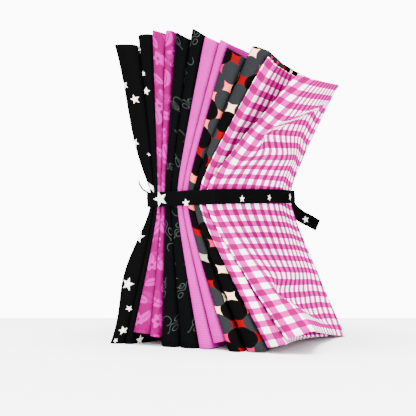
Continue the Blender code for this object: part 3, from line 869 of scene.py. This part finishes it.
# ---------------------------------------------------------------------------------------------
# The tie is a strip torn from the starred cloth. It goes once round the waist, is knotted behind
# the gingham's end of the stack, and ends in two short free ends. Its edges are raw, and a frayed
# strand stands off at the front.
TIE_WIDTH, TIE_CLOTH, TIE_MIDDLE = 10.6 * MM, 0.5 * MM, 0.55 * MM
TIE_GAP, TIE_CORNER = 0.9 * MM, 1.2 * MM
TIE_SIDE_STEPS, TIE_CORNER_STEPS, NEARLY_STRAIGHT = 20, 5, 0.7
WAIST_LEVEL = 0.06
KNOT_PLACE, KNOT_BACK = 0.80, 3.7 * MM
STATION_APART = 2 * MM
TIE_COLUMNS, CURVE_POINTS, WRAP_STEPS, WRAP_POWER = 6, 6, 24, 0.6
WAVE, EDGE_WAVES_APART, SURFACE_WAVES_APART, DISHED = 0.03, 1 / 160, 1 / 90, 0.014
Station = namedtuple("Station", "place out across")
Step = namedtuple("Step", "right back up roll")
SEEN_END = (
    Step(0.0, 0.6, -1.0, 0),
    Step(4.5, 2.4, -6.0, 4),
    Step(10.0, 3.0, -12.0, 10),
    Step(17.0, 2.6, -17.0, 14),
    Step(24.0, 2.6, -20.5, 16),
    Step(31.0, 3.4, -24.5, 18),
)
HIDDEN_END = (
    Step(0.0, 0.6, -1.0, 0),
    Step(-5.0, 3.0, -6.0, 0),
    Step(-9.0, 4.0, -14.0, -4),
    Step(-12.0, 4.4, -23.0, -8),
    Step(-13.5, 6.0, -32.0, -12),
    Step(-17.0, 7.6, -40.0, -14),
)


def tie_side(side, way):
    """The tie's line along one side of the stack, from front to back."""
    points, levels = [], (-WAIST_LEVEL, WAIST_LEVEL)
    for step in range(TIE_SIDE_STEPS + 1):
        y = between(-1, 1, step / TIE_SIDE_STEPS) * (DEPTH / 2 - PULLED_IN + TIE_GAP)
        reached = max(pass_point(side, y, level, 0)[0] * way for level in levels)
        points.append(Vector(((reached + TIE_GAP) * way, y, waist_z(y / DEPTH + 0.5))) - MIDDLE)
    return points


def round_the_waist(left, right, knot):
    """From the knot round the starred side, the front and the gingham's side, back to the knot."""
    upright = (right[-1] - right[0]).cross(left[-1] - right[-1]).normalized()
    line = [knot, *left[::-1], *right, knot]
    stations = []
    for i, point in enumerate(line):
        ways = []
        for a, b in ((i - 1, i), (i, i + 1)):
            a, b = min(max(a, 0), len(line) - 2), max(min(b, len(line) - 1), 1)
            ways.append((line[b] - line[a]).cross(upright).normalized())
        last, after = ways
        if last.dot(after) > NEARLY_STRAIGHT:
            out = (last + after).normalized()
            stations.append(Station(point + out * TIE_MIDDLE, out, upright))
            continue
        centre = point - (last + after) * TIE_CORNER / (1 + last.dot(after))
        for step in range(TIE_CORNER_STEPS + 1):
            out = last.slerp(after, step / TIE_CORNER_STEPS)
            stations.append(Station(centre + out * (TIE_CORNER + TIE_MIDDLE), out, upright))
    return stations


def free_end(knot, steps):
    """A smooth line through the steps from the knot, that rolls as it goes."""
    points = [knot + Vector(step[:3]) * MM for step in steps]
    ends = [points[0], *points, points[-1]]
    stations = []
    for i in range(len(steps) - 1):
        before, start, stop, after = ends[i : i + 4]
        handles = start + (stop - before) / 6, stop - (after - start) / 6
        curve = interpolate_bezier(start, *handles, stop, CURVE_POINTS)
        for j, place in enumerate(curve[:-1]):
            along = (curve[j + 1] - place).normalized()
            across = along.cross(Vector((0, 1, 0))).normalized()
            roll = between(steps[i].roll, steps[i + 1].roll, j / (CURVE_POINTS - 1))
            across.rotate(Quaternion(along, math.radians(roll)))
            out = across.cross(along).normalized()
            stations.append(Station(place + out * TIE_MIDDLE, out, across))
    return stations


def wrap(centre, deep, high, lean):
    """One turn of the knot: an upright ring of cloth round the band, leaning to one side."""
    turn = Quaternion((0, 1, 0), lean)
    stations = []
    for step in range(WRAP_STEPS + 1):
        angle = math.tau * step / WRAP_STEPS
        s, c = math.sin(angle), math.cos(angle)
        y = math.copysign(abs(s) ** WRAP_POWER, s) * deep
        z = math.copysign(abs(c) ** WRAP_POWER, c) * high
        out = Vector((0, s / deep, c / high)).normalized()
        place, across = turn @ Vector((0, y, z)), turn @ Vector((1, 0, 0))
        stations.append(Station(centre + place, turn @ out, across))
    return stations


def evenly(stations):
    """The same line, with a station every 2 mm or so, and how far along each is."""
    found, run = [(0.0, stations[0])], 0.0
    for a, b in zip(stations, stations[1:]):
        long = (b.place - a.place).length
        parts = max(1, round(long / STATION_APART))
        for part in range(1, parts + 1):
            share = part / parts
            mixed = (x.lerp(y, share) for x, y in zip(a, b))
            found.append((run + long * share, Station(*mixed)))
        run += long
    return found, run


def strip(mesh, uv, stations, start, width, columns, uneven):
    """A strip of cloth along the stations, with wavy edges. Its threads start this far along."""
    placed, long = evenly(stations)
    rows = []
    for run, station in placed:
        rows.append([])
        for column in range(columns + 1):
            side = 2 * column / columns - 1
            wave = noise.noise(Vector((run / EDGE_WAVES_APART, side * 2, uneven)))
            aside = side / 2 + wave * WAVE * abs(side)
            ripple = noise.noise(Vector((run / SURFACE_WAVES_APART, side, uneven + 9)))
            lift = ripple * WAVE - DISHED * side**2
            place = station.place + station.across * aside * width + station.out * lift * width
            rows[-1].append((mesh.verts.new(place), (start + run, (side + 1) * width / 2)))
    for row, after in zip(rows, rows[1:]):
        for column in range(columns):
            corners = (row[column], after[column], after[column + 1], row[column + 1])
            face = mesh.faces.new([corner[0] for corner in corners])
            face.smooth = True
            for loop, corner in zip(face.loops, corners):
                loop[uv].uv = corner[1]
    return start + long


left, right = tie_side(starred_sides[0], -1), tie_side(gingham_sides[3], 1)
at_knot = left[-1].lerp(right[-1], KNOT_PLACE)
knot = at_knot + Vector((0, KNOT_BACK, 0))
mesh = bmesh.new()
uv = mesh.loops.layers.uv.new("cloth")
tie_lines = (
    (round_the_waist(left, right, at_knot), TIE_WIDTH),
    (free_end(knot, SEEN_END), TIE_WIDTH),
    (free_end(knot, HIDDEN_END), TIE_WIDTH),
    (wrap(knot, 2.4 * MM, 5.2 * MM, 0.15), 9 * MM),
    (wrap(knot, 3.0 * MM, 5.6 * MM, -0.5), 7 * MM),
)
long = 0.0
for number, (stations, width) in enumerate(tie_lines):
    long = strip(mesh, uv, stations, long, width, TIE_COLUMNS, 2.0 * number)
STRAND_WIDTH, STRAND_FROM = 1.2 * MM, 0.17
LOOSE_STRAND = (
    (-49.4, -64.6, 109.2),
    (-52.0, -65.2, 110.6),
    (-54.9, -65.5, 112.3),
    (-57.9, -65.5, 116.6),
    (-58.2, -65.5, 118.6),
)
facing, across = Vector((0, -1, 0)), Vector((0.6, 0, 0.8))
strand = [Station(Vector(place) * MM, facing, across) for place in LOOSE_STRAND]
strip(mesh, uv, strand, STRAND_FROM, STRAND_WIDTH, 1, 3.0)
tie = as_sheet("tie_strip", mesh, TIE_CLOTH)
# Where its stars are, in millimetres along it from the knot and across it.
TIE_STARS = (
    Star(14, 6, 2.6, 0.4),
    Star(52, 4, 3.2, 0.0),
    Star(88, 7, 2.4, 0.7),
    Star(120, 3.5, 3.4, 0.2),
    Star(148, 7, 2.5, 1.0),
    Star(188.3, 5.6, 5.8, 0.65),
    Star(210, 1.8, 3.1, -0.4),
    Star(262, 3.6, 2.7, -0.3),
    Star(294, 4.2, 2.6, 0.1),
    Star(344, 5.1, 3.3, 0.0),
    Star(399, 4.9, 3.2, 0.4),
    Star(430, 5.5, 3.0, 0.3),
    Star(462, 4, 2.4, 0.9),
    Star(500, 5, 3.0, 0.0),
    Star(528, 4, 2.6, 0.5),
)
tie.data.materials.append(starred_cotton("the tie's starred cotton", TIE_STARS))
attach(tie, "root")
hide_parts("tie")

# ---------------------------------------------------------------------------------------------
# The table and the light: a plain pale top, a bright room that looks brighter than it lights, a
# large soft light above, and a smaller one low in front on the right.
bpy.ops.mesh.primitive_plane_add(size=1, location=(0, 0, 0))
table_top = bpy.context.object
table_top.name = "table_top"
table_top.scale = (4, 2.4, 1)
table_top.rotation_euler = (0, 0, math.radians(30))
table_top.location = Vector((0.48, -0.83, 0))
pale = bpy.data.materials.new("pale top")
pale.use_nodes = True
pale.node_tree.nodes["Principled BSDF"].inputs["Base Color"].default_value = (0.94, 0.94, 0.95, 1)
pale.node_tree.nodes["Principled BSDF"].inputs["Roughness"].default_value = 0.5
table_top.data.materials.append(pale)
world = bpy.context.scene.world or bpy.data.worlds.new("room")
bpy.context.scene.world = world
world.use_nodes = True
tree = world.node_tree
tree.nodes.clear()
lighting, seen = (tree.nodes.new("ShaderNodeBackground") for _ in range(2))
lighting.inputs["Color"].default_value = (1, 0.985, 0.995, 1)
lighting.inputs["Strength"].default_value = 1.5
seen.inputs["Color"].default_value = (0.985, 0.99, 1, 1)
seen.inputs["Strength"].default_value = 11
WORLD_NODES = ("LightPath", "MixShader", "OutputWorld")
ray, mix, end = (tree.nodes.new("ShaderNode" + kind) for kind in WORLD_NODES)
tree.links.new(ray.outputs["Is Camera Ray"], mix.inputs[0])
tree.links.new(lighting.outputs[0], mix.inputs[1])
tree.links.new(seen.outputs[0], mix.inputs[2])
tree.links.new(mix.outputs[0], end.inputs[0])
AIM = Vector((0, 0, 0.1))


def soft_light(name, place, size, watts):
    """A round light that faces the middle of the bundle."""
    light = bpy.data.objects.new(name, bpy.data.lights.new(name, "AREA"))
    light.data.shape = "DISK"
    light.data.size = size
    light.data.energy = watts
    light.location = place
    light.rotation_euler = (AIM - light.location).to_track_quat("-Z", "Y").to_euler()
    bpy.context.scene.collection.objects.link(light)


soft_light("top", Vector((0.1, -0.3, 2.2)), 2.0, 330)
soft_light("front", Vector((0.9, -1.1, 0.45)), 1.2, 55)
